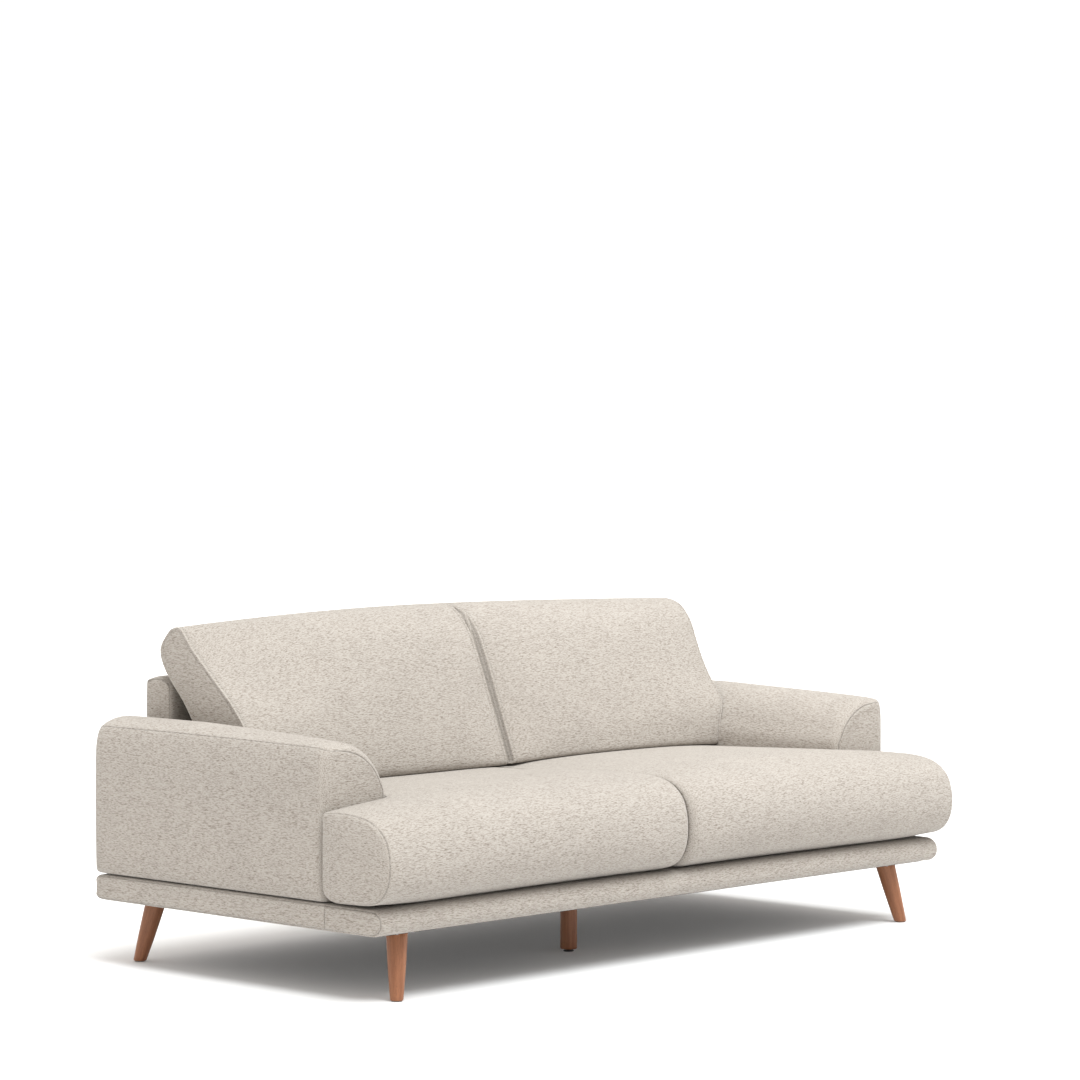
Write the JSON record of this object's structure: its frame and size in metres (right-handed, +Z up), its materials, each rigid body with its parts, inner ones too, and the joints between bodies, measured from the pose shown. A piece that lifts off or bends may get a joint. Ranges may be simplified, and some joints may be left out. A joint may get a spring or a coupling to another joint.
{
  "type": "sofa",
  "caption": "Wide sofa with a padded platform, rounded arms, loose seat cushions that run in front of the arms, leaning back cushions and splayed wooden legs.",
  "frame": {"origin": "on the floor, under the middle of the overall box", "axes": "+Z up, +Y towards the back, +X to the right of someone who faces the sofa's front"},
  "size_m": [2.106, 1.056, 0.86],
  "materials": {
    "upholstery": "matte",
    "leg_wood": "satin",
    "frame_timber": "matte",
    "webbing": "matte",
    "foam": "matte",
    "dust_cloth": "matte",
    "felt": "matte",
    "steel": "satin",
    "zip_metal": "satin",
    "zip_tape": "matte",
    "black_plastic": "matte"
  },
  "bodies": {
    "sofa_frame": {"front_rail": "frame_timber", "rear_rail": "frame_timber", "side_rail_left": "frame_timber", "side_rail_right": "frame_timber", "cross_rail_left": "frame_timber", "cross_rail_centre": "frame_timber", "cross_rail_right": "frame_timber", "corner_blocks": "frame_timber", "centre_leg_block": "frame_timber", "seat_webbing": "webbing", "deck_pad": "foam", "platform_padding": "foam", "platform_cover": "upholstery", "dust_cover": "dust_cloth", "leg_front_left": "leg_wood", "leg_front_right": "leg_wood", "leg_rear_left": "leg_wood", "leg_rear_right": "leg_wood", "foot_pads": "felt", "leg_plates": "steel", "plate_screws": "steel", "hanger_bolts": "steel", "leg_nuts": "steel", "centre_leg": "leg_wood", "levelling_insert": "steel", "arm_posts_left": "frame_timber", "arm_posts_right": "frame_timber", "arm_top_rail_left": "frame_timber", "arm_top_rail_right": "frame_timber", "arm_bottom_rail_left": "frame_timber", "arm_bottom_rail_right": "frame_timber", "arm_padding_left": "foam", "arm_padding_right": "foam", "arm_cover_left": "upholstery", "arm_cover_right": "upholstery", "back_bottom_rail": "frame_timber", "back_top_rail": "frame_timber", "back_posts": "frame_timber", "back_webbing": "webbing", "back_padding": "foam", "back_cover": "upholstery", "frame_bolts": "steel"},
    "seat_cushion_left": {"seat_core_left": "foam", "seat_cover_left": "upholstery", "seat_zip_left": "zip_tape"},
    "seat_cushion_right": {"seat_core_right": "foam", "seat_cover_right": "upholstery", "seat_zip_right": "zip_tape"},
    "back_cushion_left": {"back_core_left": "foam", "back_cushion_cover_left": "upholstery", "back_zip_left": "zip_tape"},
    "back_cushion_right": {"back_core_right": "foam", "back_cushion_cover_right": "upholstery", "back_zip_right": "zip_tape"},
    "levelling_foot": {"levelling_foot": "black_plastic"},
    "seat_slider_left": {"seat_zip_slider_left": "zip_metal"},
    "seat_slider_right": {"seat_zip_slider_right": "zip_metal"},
    "back_slider_left": {"back_zip_slider_left": "zip_metal"},
    "back_slider_right": {"back_zip_slider_right": "zip_metal"}
  },
  "joints": [
    {"name": "seat_pull_left", "type": "slide", "parent": "sofa_frame", "child": "seat_cushion_left", "axis": [0, -1, 0], "range_m": [0, 0.25]},
    {"name": "back_lift_left", "type": "slide", "parent": "sofa_frame", "child": "back_cushion_left", "axis": [0, 0, 1], "range_m": [0, 0.3]},
    {"name": "seat_zip_pull_left", "type": "slide", "parent": "seat_cushion_left", "child": "seat_slider_left", "axis": [-1, 0, 0], "range_m": [0, 0.62]},
    {"name": "back_zip_pull_left", "type": "slide", "parent": "back_cushion_left", "child": "back_slider_left", "axis": [-1, 0, 0], "range_m": [0, 0.62]},
    {"name": "seat_pull_right", "type": "slide", "parent": "sofa_frame", "child": "seat_cushion_right", "axis": [0, -1, 0], "range_m": [0, 0.25]},
    {"name": "back_lift_right", "type": "slide", "parent": "sofa_frame", "child": "back_cushion_right", "axis": [0, 0, 1], "range_m": [0, 0.3]},
    {"name": "seat_zip_pull_right", "type": "slide", "parent": "seat_cushion_right", "child": "seat_slider_right", "axis": [1, 0, 0], "range_m": [0, 0.62]},
    {"name": "back_zip_pull_right", "type": "slide", "parent": "back_cushion_right", "child": "back_slider_right", "axis": [1, 0, 0], "range_m": [0, 0.62]},
    {"name": "levelling_screw", "type": "slide", "parent": "sofa_frame", "child": "levelling_foot", "axis": [0, 0, -1], "range_m": [-0.0015, 0.01]}
  ]
}
